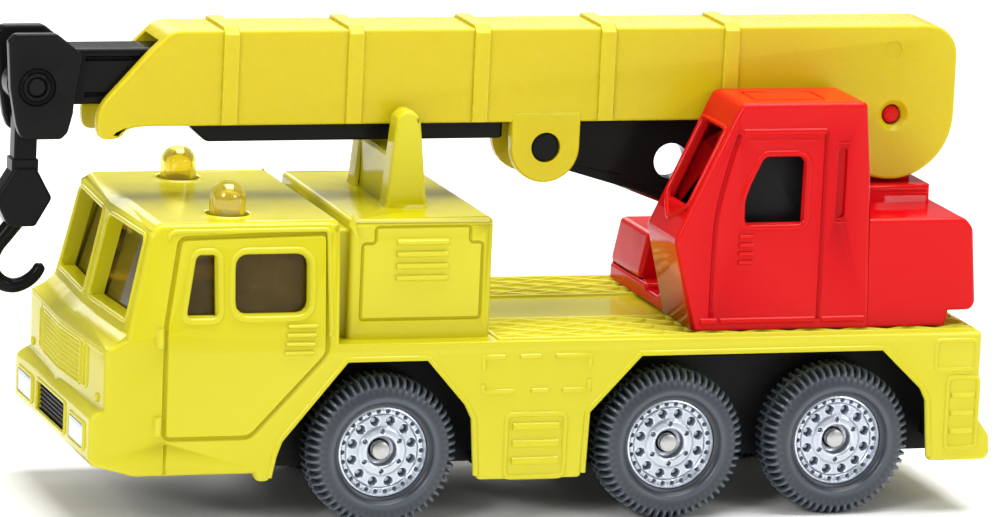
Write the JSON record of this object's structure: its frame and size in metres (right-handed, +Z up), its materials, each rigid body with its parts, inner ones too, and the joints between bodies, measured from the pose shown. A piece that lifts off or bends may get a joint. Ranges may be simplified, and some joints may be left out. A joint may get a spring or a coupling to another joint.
{
  "type": "toy crane truck",
  "caption": "Small die-cast toy mobile crane: three-axle truck with a slewing turret, a lifting and extending boom with a lift ram, and a swinging hook.",
  "frame": {"origin": "on the ground under the middle of the toy's bounding box", "axes": "+Z up, -Y towards the front of the truck, +X towards its left side (the operator cab's side)"},
  "size_m": [0.028, 0.0931, 0.0443],
  "materials": {
    "yellow_paint": "glossy yellow enamel on die-cast zinc",
    "amber_clear": "clear amber polystyrene, polished",
    "interior_plastic": "dark brown moulded plastic",
    "black_plastic": "black moulded plastic, satin",
    "steel": "drawn steel wire, bright",
    "rim_silver": "silver printed plastic",
    "tyre": "blue-black moulded tyre, satin",
    "red_paint": "glossy red enamel on die-cast zinc",
    "boom_plastic": "yellow moulded plastic, slightly translucent",
    "crane_plastic": "black moulded plastic, glossy"
  },
  "bodies": {
    "chassis": {"truck_body": "yellow_paint", "cab_glazing": "amber_clear", "cab_interior": "interior_plastic", "underframe": "black_plastic", "rivet_front": "steel", "rivet_rear": "steel"},
    "wheelset_front": {"axle_front": "steel", "rim_front_left": "rim_silver", "tyre_front_left": "tyre", "rim_front_right": "rim_silver", "tyre_front_right": "tyre"},
    "wheelset_middle": {"axle_middle": "steel", "rim_middle_left": "rim_silver", "tyre_middle_left": "tyre", "rim_middle_right": "rim_silver", "tyre_middle_right": "tyre"},
    "wheelset_rear": {"axle_rear": "steel", "rim_rear_left": "rim_silver", "tyre_rear_left": "tyre", "rim_rear_right": "rim_silver", "tyre_rear_right": "tyre"},
    "turret": {"turret_body": "red_paint", "turret_rivet": "steel"},
    "boom": {"boom_outer": "boom_plastic"},
    "boom_extension": {"boom_inner": "crane_plastic"},
    "ram": {"lift_ram": "crane_plastic"},
    "hook": {"hook": "crane_plastic"}
  },
  "joints": [
    {"name": "front_axle_spin", "type": "hinge", "parent": "chassis", "child": "wheelset_front", "pos_m": [0, -0.0121, 0.007], "axis": [1, 0, 0], "continuous": true},
    {"name": "middle_axle_spin", "type": "hinge", "parent": "chassis", "child": "wheelset_middle", "pos_m": [0, 0.0154, 0.007], "axis": [1, 0, 0], "continuous": true},
    {"name": "rear_axle_spin", "type": "hinge", "parent": "chassis", "child": "wheelset_rear", "pos_m": [0, 0.03165, 0.007], "axis": [1, 0, 0], "continuous": true},
    {"name": "turret_slew", "type": "hinge", "parent": "chassis", "child": "turret", "pos_m": [0, 0.028, 0.0172], "axis": [0, 0, 1], "continuous": true},
    {"name": "boom_lift", "type": "hinge", "parent": "turret", "child": "boom", "pos_m": [0, 0.0391, 0.0356], "axis": [-1, 0, 0], "range_deg": [0, 45]},
    {"name": "boom_extend", "type": "slide", "parent": "boom", "child": "boom_extension", "axis": [0, -1, 0], "range_m": [0, 0.03]},
    {"name": "ram_swing", "type": "hinge", "parent": "boom", "child": "ram", "pos_m": [0, 0.0052, 0.033], "axis": [-1, 0, 0], "range_deg": [0, 8]},
    {"name": "hook_swing", "type": "hinge", "parent": "boom_extension", "child": "hook", "pos_m": [0, -0.0428, 0.039], "axis": [1, 0, 0], "range_deg": [-60, 12]}
  ],
  "couplings": [
    {"joint": "ram_swing", "follows": "boom_lift", "ratio": 0.15}
  ]
}
